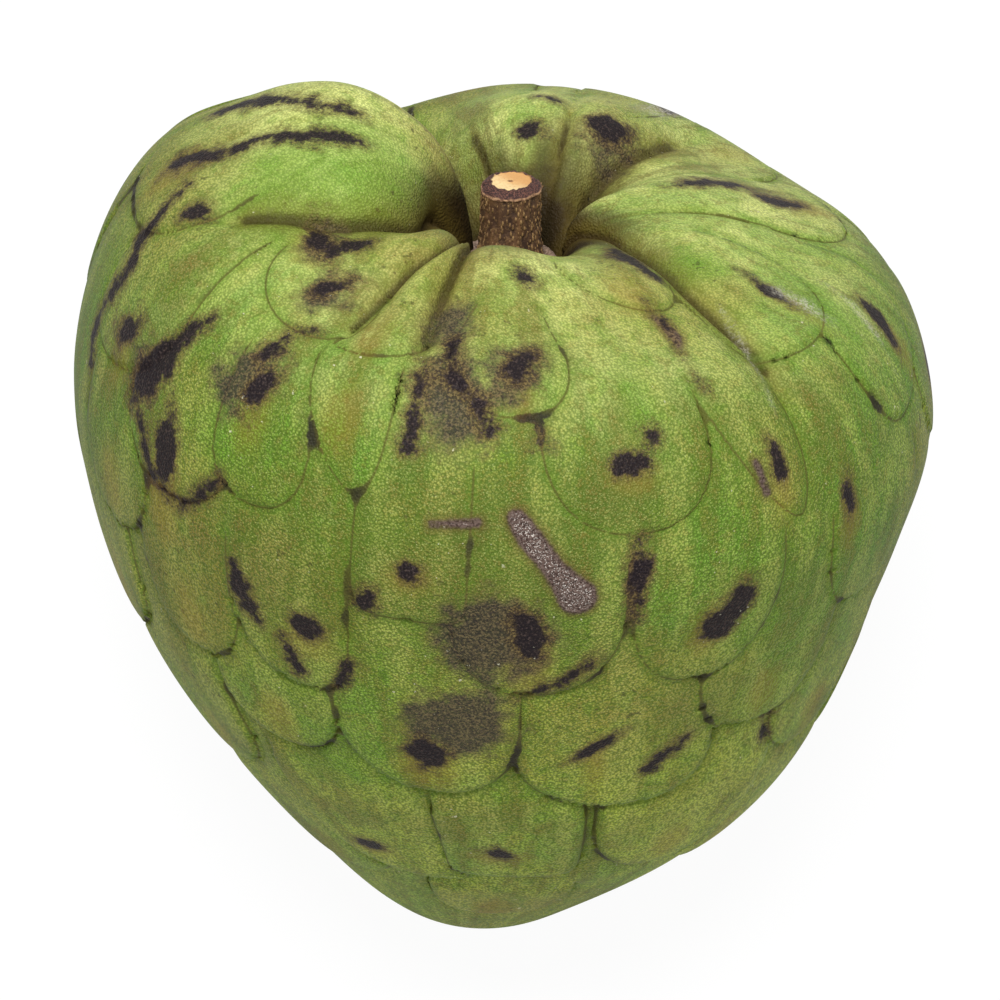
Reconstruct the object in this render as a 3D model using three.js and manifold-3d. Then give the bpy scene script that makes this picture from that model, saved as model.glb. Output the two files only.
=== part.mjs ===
// A cherimoya as picked: the grown fruit, and the woody stub of the stem that it hung from.
// It lies on its flank on a small flat spot, stem end raised. Millimetres, +Z up, origin under the middle.
import * as THREE from 'three';
import { mergeVertices } from 'three/addons/utils/BufferGeometryUtils.js';
import Module from 'manifold-3d';

const { clamp, degToRad, smoothstep } = THREE.MathUtils;

// Driving dimensions.
const WIDTH = 110; // across the widest part of the fruit
const AXIS_RISE = 33; // degrees that the fruit's axis, tip to stem, rises from the table
const FLAT_DEPTH = 1.2; // how far the skin is pressed in where the fruit rests
const SPHERE_DETAIL = 16; // divisions of an icosahedron's edge, for the fruit's skin

// The fruit's meridian, from the bottom of the stem cavity, over the crest and down the flank to the tip:
// distance from the axis and height above the tip, both as parts of the widest radius.
const MERIDIAN = [
  [0, 1.64], [0.07, 1.64], [0.13, 1.67], [0.2, 1.76], [0.3, 1.845], [0.45, 1.885], [0.65, 1.82], [0.82, 1.745],
  [0.943, 1.595], [1, 1.35], [0.96, 1.1], [0.875, 0.835], [0.735, 0.54], [0.545, 0.28], [0.25, 0],
  [0.1, -0.07], [0, -0.08],
];
const CAVITY = 0.09; // how much deeper than that the floor round the stem lies, in radii
const CAVITY_END = 0.08; // and how far along the meridian this reaches

// Azimuth 0 is the side that lies uppermost. The left shoulder stands higher than the right one, and
// the crest is uneven: azimuth, how much higher it stands there in radii, how much nearer the stem.
const SHOULDER_LIFT = 0.125;
const LIFT_TOP = 0.17; // where, as a part of the way from stem to tip, the lift is greatest
const LIFT_END = 0.63; // and where it has faded out
const CROWN = [
  [-178, -0.03, 0], [-155, -0.17, 0.35], [-132, -0.13, 0.45], [-104, 0.045, 0.45], [-65, 0.01, 0.4],
  [-38, -0.06, 0.25], [-15, -0.01, 0.15], [25, -0.01, 0], [60, 0.02, 0.1], [105, 0.03, 0.35],
  [130, -0.01, 0.2], [155, 0.03, 0],
];

// The fruit's axis sways a little to the sides: part of the way along, and offset in radii.
const SWAY = [[0, 0], [0.35, 0], [0.55, -0.01], [0.75, 0.036], [0.9, -0.022], [1, -0.035]];

// Creases part the lobes round the stem. Each has a half width in mm and a path of (azimuth, percentage
// of the way from stem to tip, depth in mm).
const CREASES = [
  { halfWidth: 7, path: [[-50, 5, 3], [-17, 11, 4], [-13, 15, 4], [-14, 21, 3.5], [-14, 30, 0]] },
  { halfWidth: 6, path: [[-70, 5, 3], [-26, 11, 4], [-19, 15, 4], [-25, 19.5, 3.5], [-28, 29, 0]] },
  { halfWidth: 8, path: [[-85, 4, 4], [-60, 8, 5], [-40, 12, 5], [-46, 18, 4.5], [-66, 27.5, 0]] },
  { halfWidth: 10, path: [[-150, 4, 5], [-152, 9, 6], [-155, 14, 7], [-156, 20, 7], [-148, 36, 0]] },
  { halfWidth: 8, path: [[110, 4, 3], [127, 8, 5], [136, 14, 4.5], [139, 20, 2.5], [141, 27, 0]] },
  { halfWidth: 8, path: [[105, 5, 2], [80, 9.5, 3.5], [62, 13.5, 4.5], [51.5, 18, 4], [48, 23, 3], [43, 42, 0]] },
];
const RING_FLOOR = 0.18; // near the stem and the tip a ring is never taken as smaller than this, in radii

// The scales are the fused carpels, set round the fruit by the golden angle like seeds on a cone.
const SCALE_COUNT = 70;
const GOLDEN_ANGLE = Math.PI * (3 - Math.sqrt(5));
const SCALE_RELIEF = 1.4; // depth of the grooves between scales
const GROOVE_SPREAD = 0.16; // radians from a groove to where a scale is level
const SCALES_START = 0.17; // the scales' grooves deepen from here
const SCALES_FULL = 0.3; // to here

// The stem stub: a barked rod that flares a little to its root, cut square.
const STEM_TOP_RADIUS = 4.1;
const STEM_ROOT_RADIUS = 4.6;
const STEM_TOP = 1.86; // height of the cut end on the fruit's axis, in radii
const STEM_ROOT_DEPTH = 1.6; // how deep the root sits in the cavity's floor
const STEM_SIDES = 28;
const BARK_RIDGES = 7;
const BARK_RIDGE_HEIGHT = 0.15;
const WOOD_INSET = 1.45; // width of the bark seen round the cut wood
const RIM_DROP = 0.75; // how far the bark's edge falls below the cut
const GAP = 0.3; // between the stem's root and the fruit

const wasm = await Module();
wasm.setup();

/** A closed mesh as a solid: only positions, shared vertices, and no triangle without area. */
function toSolid(geometry) {
  geometry.deleteAttribute('normal');
  geometry.deleteAttribute('uv');
  const merged = mergeVertices(geometry, 1e-4);
  const index = merged.index.array;
  const triVerts = [];
  for (let i = 0; i < index.length; i += 3) {
    const [a, b, c] = [index[i], index[i + 1], index[i + 2]];
    if (a !== b && b !== c && c !== a) triVerts.push(a, b, c);
  }
  const vertProperties = new Float32Array(merged.attributes.position.array);
  return new wasm.Manifold(new wasm.Mesh({ numProp: 3, vertProperties, triVerts: new Uint32Array(triVerts) }));
}

function toGeometry(solid) {
  const mesh = solid.getMesh();
  const geometry = new THREE.BufferGeometry();
  geometry.setAttribute('position', new THREE.BufferAttribute(new Float32Array(mesh.vertProperties), 3));
  geometry.setIndex(new THREE.BufferAttribute(new Uint32Array(mesh.triVerts), 1));
  geometry.computeVertexNormals();
  return geometry;
}

/** 1 at a groove's bottom, falling to 0 at x = 1, as where two round cushions meet. */
function groove(x) {
  const rise = 1 - Math.min(Math.abs(x), 1);
  return 1 - Math.sqrt(1 - rise * rise);
}

/** Unit vectors to the scales' centres, the first nearest the stem. */
function scaleCentres() {
  return Array.from({ length: SCALE_COUNT }, (_, i) => {
    const height = 1 - (2 * i + 1) / SCALE_COUNT;
    const ring = Math.sqrt(1 - height * height);
    const turn = i * GOLDEN_ANGLE;
    return new THREE.Vector3(ring * Math.sin(turn), -ring * Math.cos(turn), height);
  });
}

/** A smooth curve through points of (x, y), as a function of x. */
function curveThrough(points) {
  const curve = new THREE.SplineCurve(points.map(([x, y]) => new THREE.Vector2(x, y)));
  const samples = curve.getPoints(12 * (points.length - 1));
  return (x) => {
    const next = clamp(samples.findIndex((sample) => sample.x > x), 1, samples.length - 1);
    const [a, b] = [samples[next - 1], samples[next]];
    return a.y + ((b.y - a.y) * clamp(x - a.x, 0, b.x - a.x)) / (b.x - a.x);
  };
}

/** One column of the crown as a smooth function of azimuth that closes on itself. */
function roundTheCrown(column) {
  const turns = [-360, 0, 360].flatMap((turn) => CROWN.map((row) => [row[0] + turn, row[column]]));
  return curveThrough(turns);
}

const radius = WIDTH / 2;
const meridian = new THREE.SplineCurve(MERIDIAN.map(([r, z]) => new THREE.Vector2(r * radius, z * radius)));
meridian.arcLengthDivisions = 800;
const meridianLength = meridian.getLength();
const sway = curveThrough(SWAY);
const crownRise = roundTheCrown(1);
const crownNarrowing = roundTheCrown(2);
const centres = scaleCentres();
const creases = CREASES.map(({ halfWidth, path }) => {
  const curve = new THREE.CatmullRomCurve3(path.map((point) => new THREE.Vector3(...point)), false, 'catmullrom');
  return { halfWidth, points: curve.getPoints(6 * (path.length - 1)) };
});

/** The depth that a crease has at a place on the skin. */
function depthOfCrease({ halfWidth, points }, along, azimuth, ring) {
  let nearest = Infinity;
  let depth = 0;
  for (let i = 1; i < points.length; i += 1) {
    const [a, b] = [points[i - 1], points[i]];
    const turn = azimuth - degToRad(a.x);
    const x = Math.atan2(Math.sin(turn), Math.cos(turn)) * ring;
    const y = (along - a.y / 100) * meridianLength;
    const dx = degToRad(b.x - a.x) * ring;
    const dy = ((b.y - a.y) / 100) * meridianLength;
    const share = clamp((x * dx + y * dy) / (dx * dx + dy * dy), 0, 1);
    const distance = Math.hypot(x - share * dx, y - share * dy);
    if (distance < nearest) {
      nearest = distance;
      depth = a.z + (b.z - a.z) * share;
    }
  }
  return depth * groove(nearest / halfWidth);
}

function scaleGroove(direction, along) {
  const angles = centres.map((centre) => direction.angleTo(centre)).sort((a, b) => a - b);
  const strength = smoothstep(along, SCALES_START, SCALES_FULL);
  return SCALE_RELIEF * strength * groove((angles[1] - angles[0]) / GROOVE_SPREAD);
}

/** Moves a point of the unit sphere to its place on the fruit's skin. */
function skinPoint(direction) {
  const along = Math.acos(clamp(direction.z, -1, 1)) / Math.PI;
  const azimuth = Math.atan2(direction.x, -direction.y);
  const turn = THREE.MathUtils.radToDeg(azimuth);
  const point = meridian.getPointAt(along);
  const tangent = meridian.getTangentAt(along);

  const lifted = smoothstep(along, 0.03, LIFT_TOP) * (1 - smoothstep(along, LIFT_TOP, LIFT_END));
  const atCrown = smoothstep(along, 0.03, 0.12) * (1 - smoothstep(along, 0.2, 0.42));
  const atWall = smoothstep(along, 0, 0.06) * (1 - smoothstep(along, 0.06, 0.2));
  const atFloor = 1 - smoothstep(along, 0.01, CAVITY_END);
  const rise = atCrown * crownRise(turn) - SHOULDER_LIFT * lifted * Math.sin(azimuth) - CAVITY * atFloor;
  const width = Math.max(point.x, RING_FLOOR * radius);

  let sunk = scaleGroove(direction, along);
  for (const crease of creases) sunk = Math.max(sunk, depthOfCrease(crease, along, azimuth, width));
  const ring = point.x * (1 - atWall * crownNarrowing(turn)) + tangent.y * sunk;
  const height = point.y + rise * radius - tangent.x * sunk;
  return new THREE.Vector3(ring * Math.sin(azimuth) + sway(along) * radius, -ring * Math.cos(azimuth), height);
}

function makeFruit() {
  const sphere = new THREE.IcosahedronGeometry(1, SPHERE_DETAIL);
  const position = sphere.attributes.position;
  const direction = new THREE.Vector3();
  for (let i = 0; i < position.count; i += 1) {
    direction.fromBufferAttribute(position, i).normalize();
    position.setXYZ(i, ...skinPoint(direction));
  }
  return toSolid(sphere);
}

/** The stem grown outwards by margin, standing on the cavity's floor. */
function makeStem(margin) {
  const floor = (MERIDIAN[0][1] - CAVITY) * radius - STEM_ROOT_DEPTH - margin;
  const top = STEM_TOP * radius + margin;
  const profile = [
    [0, floor], [STEM_ROOT_RADIUS + margin, floor], [STEM_ROOT_RADIUS + margin, floor + 2.5],
    [STEM_TOP_RADIUS + margin + 0.1, (floor + top) / 2], [STEM_TOP_RADIUS + margin, top - 1],
    [STEM_TOP_RADIUS + margin - 0.3, top - RIM_DROP], [STEM_TOP_RADIUS - WOOD_INSET, top], [0, top],
  ];
  const rod = new THREE.LatheGeometry(profile.map(([r, z]) => new THREE.Vector2(r, z)), STEM_SIDES);
  rod.rotateX(Math.PI / 2);
  const position = rod.attributes.position;
  for (let i = 0; i < position.count; i += 1) {
    const ring = Math.hypot(position.getX(i), position.getY(i));
    const turn = Math.atan2(position.getY(i), position.getX(i));
    const ridge = ring > STEM_TOP_RADIUS - WOOD_INSET ? BARK_RIDGE_HEIGHT * Math.cos(BARK_RIDGES * turn) : 0;
    const scale = ring > 0 ? 1 + ridge / ring : 1;
    position.setXY(i, position.getX(i) * scale, position.getY(i) * scale);
  }
  return toSolid(rod);
}

const upright = makeFruit().subtract(makeStem(GAP));
const tilt = [AXIS_RISE - 90, 0, 0];
const lyingFruit = upright.rotate(tilt);
const lyingStem = makeStem(0).rotate(tilt);

// The table presses a small flat into the lowest part of the flank.
const lowest = lyingFruit.boundingBox().min[2];
const table = new THREE.BoxGeometry(4 * WIDTH, 4 * WIDTH, WIDTH);
table.translate(0, 0, lowest + FLAT_DEPTH - WIDTH / 2);
const restingFruit = lyingFruit.subtract(toSolid(table));

function makeMesh(name, solid, color, roughness) {
  const material = new THREE.MeshStandardMaterial({ color, roughness, metalness: 0 });
  const mesh = new THREE.Mesh(toGeometry(solid), material);
  mesh.name = name;
  return mesh;
}

const cherimoya = new THREE.Group();
cherimoya.add(makeMesh('fruit', restingFruit, 0x95a648, 0.5));
cherimoya.add(makeMesh('stem', lyingStem, 0x5a3c26, 0.85));

const box = new THREE.Box3().setFromObject(cherimoya, true);
const middle = box.getCenter(new THREE.Vector3());
cherimoya.position.set(-middle.x, -middle.y, -box.min.z);

export default cherimoya;
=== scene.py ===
# %% [markdown]
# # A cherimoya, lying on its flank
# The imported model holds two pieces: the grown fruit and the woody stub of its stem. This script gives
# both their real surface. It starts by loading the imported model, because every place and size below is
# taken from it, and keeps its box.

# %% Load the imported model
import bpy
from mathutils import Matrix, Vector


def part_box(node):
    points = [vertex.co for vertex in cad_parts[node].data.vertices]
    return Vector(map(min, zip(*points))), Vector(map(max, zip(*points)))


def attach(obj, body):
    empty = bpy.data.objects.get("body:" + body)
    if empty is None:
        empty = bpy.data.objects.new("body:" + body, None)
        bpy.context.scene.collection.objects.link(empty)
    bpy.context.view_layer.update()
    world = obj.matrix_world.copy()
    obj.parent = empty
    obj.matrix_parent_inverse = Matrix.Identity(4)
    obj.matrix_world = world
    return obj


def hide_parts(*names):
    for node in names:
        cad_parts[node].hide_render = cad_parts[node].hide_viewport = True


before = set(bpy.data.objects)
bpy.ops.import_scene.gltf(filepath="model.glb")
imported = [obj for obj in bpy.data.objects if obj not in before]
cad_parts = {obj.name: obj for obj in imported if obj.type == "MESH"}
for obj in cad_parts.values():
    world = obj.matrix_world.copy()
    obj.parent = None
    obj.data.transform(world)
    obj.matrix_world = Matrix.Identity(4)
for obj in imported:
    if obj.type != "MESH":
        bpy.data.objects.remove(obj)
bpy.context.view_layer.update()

import math
import bpy
import numpy as np
from mathutils import Matrix, Vector

MM = 0.001
fruit_low, fruit_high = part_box("fruit")
RADIUS = (fruit_high.x - fruit_low.x) / 2 / MM
print(f"fruit node: {RADIUS:.1f} mm to its widest part, {(fruit_high.z - fruit_low.z) / MM:.1f} mm high")

# %% [markdown]
# ## The body of the fruit
# A cherimoya is a heart turned about its stem: one meridian curve, from the bottom of the stem cavity
# over the crest and down to the blunt tip, swept round. A lathe would pinch its faces at both poles, so
# a cube blown up to a sphere carries the surface instead: its squares stay even everywhere. Each point
# of the sphere is read as a place on the skin: how far along the meridian, and its azimuth. Azimuth 0
# is the side that lies uppermost.

# %% The meridian
MERIDIAN = [
    (0, 1.64), (0.07, 1.64), (0.13, 1.67), (0.20, 1.76), (0.30, 1.845), (0.45, 1.885), (0.65, 1.82),
    (0.82, 1.745), (0.943, 1.595), (1.0, 1.35), (0.96, 1.10), (0.875, 0.835), (0.735, 0.54),
    (0.545, 0.28), (0.25, 0), (0.1, -0.07), (0, -0.08),
]
SHOULDER_LIFT = 0.125  # the left shoulder stands this much higher, in radii, and the right one lower
LIFT_TOP, LIFT_END = 0.17, 0.63  # where, from stem to tip, this is greatest and where it has faded out
CROWN = [              # azimuth, how much higher the crest stands there in radii, how much nearer the stem
    (-178, -0.03, 0), (-155, -0.17, 0.35), (-132, -0.13, 0.45), (-104, 0.045, 0.45), (-65, 0.01, 0.4),
    (-38, -0.06, 0.25), (-15, -0.01, 0.15), (25, -0.01, 0), (60, 0.02, 0.1), (105, 0.03, 0.35),
    (130, -0.01, 0.2), (155, 0.03, 0),
]
CAVITY = 0.09          # how much deeper than the meridian the floor round the stem lies, in radii
SWAY = [(0, 0), (0.35, 0), (0.55, -0.01), (0.75, 0.036), (0.9, -0.022), (1, -0.035)]  # of the axis, in radii


def smooth(low, high, x):
    """0 below low, 1 above high, and an S-curve between them."""
    t = np.clip((x - low) / (high - low), 0, 1)
    return t * t * (3 - 2 * t)


def curve_through(points, steps=40):
    """Points of the Catmull-Rom curve that passes through all of points."""
    p = np.array(points, float)
    p = np.vstack([2 * p[0] - p[1], p, 2 * p[-1] - p[-2]])
    t = np.linspace(0, 1, steps, endpoint=False)[:, None]
    spans = []
    for a, b, c, d in zip(p, p[1:], p[2:], p[3:]):
        cubic = 2 * b + (c - a) * t + (2 * a - 5 * b + 4 * c - d) * t**2 + (3 * b - a - 3 * c + d) * t**3
        spans.append(cubic / 2)
    return np.vstack(spans + [p[-2:-1]])


meridian = curve_through(MERIDIAN) * RADIUS
sway = curve_through(SWAY)
steps_along = np.linalg.norm(np.diff(meridian, axis=0), axis=1)
LENGTH = steps_along.sum()
part_along = np.concatenate([[0], np.cumsum(steps_along)]) / LENGTH
first, last = CROWN[:2], CROWN[-1:]
crown = curve_through(
    [(a - 360, h, n) for a, h, n in last] + CROWN + [(a + 360, h, n) for a, h, n in first], 12)


def ring_radius(along):
    return np.interp(along, part_along, meridian[:, 0])


def skin(along, azimuth):
    """The smooth skin, in mm, in the fruit's own upright frame: the tip at the origin, the stem up."""
    height = np.interp(along, part_along, meridian[:, 1])
    lifted = smooth(0.03, LIFT_TOP, along) * (1 - smooth(LIFT_TOP, LIFT_END, along))
    height = height - SHOULDER_LIFT * RADIUS * lifted * np.sin(azimuth)
    at_crown = smooth(0.03, 0.12, along) * (1 - smooth(0.2, 0.42, along))
    turn = np.degrees(azimuth)
    height = height + at_crown * RADIUS * np.interp(turn, crown[:, 0], crown[:, 1])
    height = height - CAVITY * RADIUS * (1 - smooth(0.01, 0.08, along))
    at_wall = smooth(0, 0.06, along) * (1 - smooth(0.06, 0.2, along))
    ring = ring_radius(along) * (1 - at_wall * np.interp(turn, crown[:, 0], crown[:, 2]))
    middle = np.interp(along, sway[:, 0], sway[:, 1]) * RADIUS
    return np.stack([middle + ring * np.sin(azimuth), -ring * np.cos(azimuth), height], axis=-1)


print(f"the meridian is {LENGTH:.0f} mm long")

# %% A sphere of even squares
GRID = 128  # squares along each edge of the cube


def cube_sphere(grid):
    """Unit directions and quads of a cube blown up to a sphere."""
    side = np.tan(np.linspace(-1, 1, grid + 1) * math.pi / 4)
    u, v = np.meshgrid(side, side, indexing="ij")
    one = np.ones_like(u)
    faces = [(one, u, v), (-one, v, u), (v, one, u), (u, -one, v), (u, v, one), (v, u, -one)]
    points = np.concatenate([np.stack(face, axis=-1).reshape(-1, 3) for face in faces])
    points /= np.linalg.norm(points, axis=1)[:, None]
    index = np.arange((grid + 1) ** 2).reshape(grid + 1, grid + 1)
    quad = np.stack([index[:-1, :-1], index[1:, :-1], index[1:, 1:], index[:-1, 1:]], axis=-1).reshape(-1, 4)
    quads = np.concatenate([quad + i * (grid + 1) ** 2 for i in range(6)])
    _, first, inverse = np.unique(np.round(points, 6), axis=0, return_index=True, return_inverse=True)
    return points[first], inverse.reshape(-1)[quads]


directions, quads = cube_sphere(GRID)
along = np.arccos(np.clip(directions[:, 2], -1, 1)) / math.pi
azimuth = np.arctan2(directions[:, 0], -directions[:, 1])
print(f"{len(directions)} points and {len(quads)} squares carry the skin")

# %% [markdown]
# ## The scales
# The fruit is many carpels grown together. Each shows as a scale shaped like a U that hangs towards the
# tip, and the scales nearer the stem lie over those below them, like roof tiles. So a scale is stored as
# the place of its tip, its half width, and how long its rounded end is, and the order from stem to tip
# decides which one shows. Many scales carry one dark bruise, mostly a little above the tip. The scales on
# the upper side and their bruises are set out one by one, because no two are alike. The rest follow the
# golden angle, as seeds on a cone do, and their bruises vary at random with a fixed seed.

# %% Set out the scales
scales = []


def scale(turn, tip, half, drop=12, square=2.3, skew=0, taper=0, reach=28, bruise=None):
    """One scale: the azimuth in degrees and the percentage of the meridian where its tip lies, then its
    half width and the length of its rounded end in mm, how square that end is, how far the tip is pushed
    sideways, how much its sides close in towards the stem in degrees, and how far up the sides show.
    Its bruise is (mm to the side, mm above the tip, length, width, degrees from the meridian)."""
    scales.append(dict(turn=turn, tip=tip / 100, half=half, drop=drop, square=square, skew=skew,
                       taper=taper, reach=reach, bruise=bruise))


scale(0.5, 31, 7.7, drop=9, taper=14, reach=22, bruise=(1, 7, 5, 3, -30))
scale(17.5, 39, 11.3, drop=14, reach=26, bruise=(0, 9, 3, 4, 0))
scale(31, 21, 8, drop=9, square=1.6, skew=3, reach=14)
scale(37.5, 40, 6.5, drop=20, square=1.6, skew=4.5, reach=26, bruise=(2, 8, 6, 2, 5))
scale(-11.5, 46.5, 7.2, drop=5, square=4, bruise=(0, 7, 2, 3, 0))
scale(5.5, 52.5, 10.6, drop=13, reach=26, bruise=(-1, 10, 7, 4, 15))
scale(-23, 38, 6.2, drop=16, square=1.7, skew=3.2, reach=22)
scale(-34, 41, 7, drop=8, reach=26, bruise=(-2, 14, 6, 3, -15))
scale(-48, 43, 10.5, drop=11, reach=30, bruise=(-1, 5, 9, 4, 10))
scale(-64, 38, 10, drop=10, skew=-3, reach=34, bruise=(0, 5, 5, 3, -50))
scale(-38, 28, 8.5, drop=9, skew=2, reach=12, bruise=(-5, 12.5, 3, 3.4, 0))
scale(-23, 28.5, 7, drop=7, reach=12)
scale(-28.5, 54.5, 8, drop=11, skew=1.5, reach=26, bruise=(3, 10, 3.5, 4, 0))
scale(-46, 55, 8.4, drop=11, reach=24)
scale(-62, 48.5, 9, drop=11, reach=22)
scale(-82, 31, 13, drop=12, reach=20)
scale(-70, 58, 9, drop=10, reach=24)
scale(-56, 68, 9, drop=10, reach=24)
scale(-33.5, 61.5, 8.8, drop=10, reach=20)
scale(-10, 63.5, 11.5, drop=14, reach=24, bruise=(0, 8, 5, 5, 50))
scale(-22, 77, 12, drop=12, square=2.6, skew=2, reach=30, bruise=(-4, 7, 2, 3, 0))
scale(-44, 80, 10, drop=10, reach=24)
scale(28.5, 52.5, 10.4, drop=17)
scale(42, 59.5, 10.5, drop=12, reach=26)
scale(18.5, 65.5, 13, drop=12, skew=2, reach=26, bruise=(-3, 13, 6, 1.8, -55))
scale(33, 75.5, 11, drop=12, reach=26)
scale(1, 75.5, 8.2, drop=5, square=4, reach=24, bruise=(-2, 8, 2.5, 4, -20))
scale(-1, 85, 8, drop=8, reach=14)
scale(61, 28.5, 11, drop=12, skew=-4, reach=26, bruise=(2, 9, 6.5, 2, -5))
scale(107, 28.5, 10, drop=10, reach=34)
scale(76, 37.5, 12.5, drop=16, square=1.8, skew=-6, reach=26, bruise=(1, 11, 7, 2.5, -15))
scale(60, 51, 11, drop=16, reach=24, bruise=(-8, 19, 5.5, 2.2, 0))
scale(59, 65.5, 10, drop=12, reach=22)
scale(52, 78, 11, drop=12, reach=26)
upper_scales = len(scales)

GOLDEN_ANGLE = 137.508
HIDDEN_SCALES = 84
rng = np.random.default_rng(7)
for k in range(HIDDEN_SCALES):
    tip = 28 + 66 * k / HIDDEN_SCALES
    turn = (k * GOLDEN_ANGLE + 40) % 360 - 180
    half = 10.5 * math.sqrt(ring_radius(tip / 100) / RADIUS) * rng.uniform(0.9, 1.1)
    drop = rng.uniform(9, 15)
    lean = rng.uniform(-2, 2)
    size = rng.uniform(2, 6)
    bruise = (rng.uniform(-2, 2), drop * 0.75, size, size * rng.uniform(0.4, 0.7), rng.uniform(-50, 50))
    bruise = bruise if tip > 35 else None
    upper = -80 < turn < 84 or (tip < 34 and -130 < turn < 130)
    if not upper:
        scale(turn, tip, half, drop=drop, skew=lean, reach=24, bruise=bruise)
scales.sort(key=lambda s: s["tip"])
print(f"{upper_scales} scales set out one by one, {len(scales) - upper_scales} by the golden angle")

# %% [markdown]
# ## The creases
# Round the stem the fruit bulges into lobes, and the creases between them run from the cavity over the
# crest and die out on the flank. Each is a smooth path on the skin, set by a few points, with its depth
# at each of them. Where two lobes meet, they meet like two cushions, so the groove's section is two
# quarter circles back to back.

# %% Set out the creases
CREASES = [  # half width in mm, and the path of (azimuth, percentage along, depth in mm)
    (7, [(-50, 5, 3), (-17, 11, 4), (-13, 15, 4), (-14, 21, 3.5), (-14, 25, 2.5), (-14, 30, 0)]),
    (6, [(-70, 5, 3), (-26, 11, 4), (-19, 15, 4), (-25, 19.5, 3.5), (-27.5, 25, 2.5), (-28, 29, 0)]),
    (8, [(-85, 4, 4), (-60, 8, 5), (-40, 12, 5), (-46, 18, 4.5), (-58, 22.5, 3), (-66, 27.5, 0)]),
    (10, [(-150, 4, 5), (-152, 9, 6), (-155, 14, 7), (-156, 20, 7), (-152, 27, 5), (-148, 36, 0)]),
    (5, [(-163, 6, 2), (-166, 11, 2.5), (-165, 16, 2), (-163, 20, 0)]),
    (3, [(-173, 8, 0.6), (-174, 14, 0.8), (-175, 20, 0)]),
    (5, [(152, 6, 1), (158, 12, 2), (163, 18, 1.5), (168, 26, 0)]),
    (8, [(110, 4, 3), (127, 8, 5), (136, 14, 4.5), (139, 20, 2.5), (141, 27, 0)]),
    (8, [(105, 5, 2), (80, 9.5, 3.5), (62, 13.5, 4.5), (51.5, 18, 4), (48, 23, 3), (45, 34, 1), (43, 42, 0)]),
    (2.5, [(-86, 27, 0.4), (-81, 20, 0.6), (-68, 15, 0)]),
    (3, [(96, 11, 0.6), (92, 17, 0.6), (94, 24, 0)]),
]
creases = [(half_width, curve_through(path, steps=6)) for half_width, path in CREASES]
print(f"{len(creases)} creases")

# %% [markdown]
# ## Fitting the mesh to the seams
# A seam between scales is half a millimetre wide, and the squares of the mesh are wider than that. Rather
# than more squares everywhere, the points that lie next to a seam are moved onto it. After that the
# distance to the seam, stored on the points, runs straight to zero there, and the shader can draw a line
# far thinner than a square.

# %% Distances on the skin
RING_FLOOR = 0.18  # near the poles a ring is never taken as smaller than this, in radii
FAR = 60.0


def turn_between(azimuth, degrees):
    """The angle from degrees to azimuth, in radians, the short way round."""
    return (azimuth - math.radians(degrees) + math.pi) % (2 * math.pi) - math.pi


def ring_width(along):
    return np.maximum(ring_radius(along), RING_FLOOR * RADIUS)


def inside_scale(s, along, azimuth):
    """Distance in mm inside a scale's outline, negative outside, and how strongly the outline shows."""
    ring = ring_width(along)
    ring_at_end = ring_width(s["tip"] - s["drop"] / LENGTH / 2)
    above_tip = (s["tip"] - along) * LENGTH
    below = np.clip(1 - above_tip / s["drop"], 0, None)
    up = np.clip(above_tip - s["drop"], 0, None)
    side = turn_between(azimuth, s["turn"]) * ring - s["skew"] * below**1.5
    half = s["half"] * np.clip(ring / ring_at_end, 0.6, 1.2) - math.tan(math.radians(s["taper"])) * up
    half = np.maximum(half, 1.5)
    power = s["square"]
    across = np.abs(side) / half
    level = np.maximum((across**power + below**power) ** (1 / power), 1e-3)
    slope = np.hypot(across ** (power - 1) / half, below ** (power - 1) / s["drop"]) * level ** (1 - power)
    slope = np.where(level < 0.15, 1 / min(s["half"], s["drop"]), np.maximum(slope, 0.02))
    shows = 1 - smooth(s["reach"] * 0.7, s["reach"], above_tip)
    return np.clip((1 - level) / slope, -FAR, FAR), shows


def near_scale(s, along, azimuth):
    """The points that a scale can reach."""
    return (np.abs(along - s["tip"]) < 0.33) & (np.abs(turn_between(azimuth, s["turn"])) < 1.3)


def distance_to_path(path, along, azimuth):
    """Distance in mm to a path of (azimuth, percentage along, amount), and the amount at its nearest point."""
    nearest = np.full(along.shape, FAR)
    amount = np.zeros(along.shape)
    ring = ring_width(along)
    for (turn_a, part_a, amount_a), (turn_b, part_b, amount_b) in zip(path, path[1:]):
        x = turn_between(azimuth, turn_a) * ring
        y = (along - part_a / 100) * LENGTH
        dx = math.radians(turn_b - turn_a) * ring
        dy = (part_b - part_a) / 100 * LENGTH
        share = np.clip((x * dx + y * dy) / (dx * dx + dy * dy), 0, 1)
        distance = np.hypot(x - share * dx, y - share * dy)
        closer = distance < nearest
        nearest = np.where(closer, distance, nearest)
        amount = np.where(closer, amount_a + (amount_b - amount_a) * share, amount)
    return nearest, amount


# %% Move the points beside a seam onto it
SNAP = 0.36  # mm


def nearest_seam(along, azimuth):
    """For each point, the scale whose visible outline is nearest, and the distance inside it."""
    which = np.full(along.shape, -1)
    distance = np.full(along.shape, FAR)
    covered = np.full(along.shape, -FAR)
    for k, s in enumerate(scales):
        near = near_scale(s, along, azimuth)
        inside, shows = inside_scale(s, along[near], azimuth[near])
        best = (np.abs(inside) < np.abs(distance[near])) & (shows > 0.2) & (covered[near] < 0.1)
        distance[near] = np.where(best, inside, distance[near])
        which[near] = np.where(best, k, which[near])
        covered[near] = np.maximum(covered[near], inside)
    return which, distance


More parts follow.
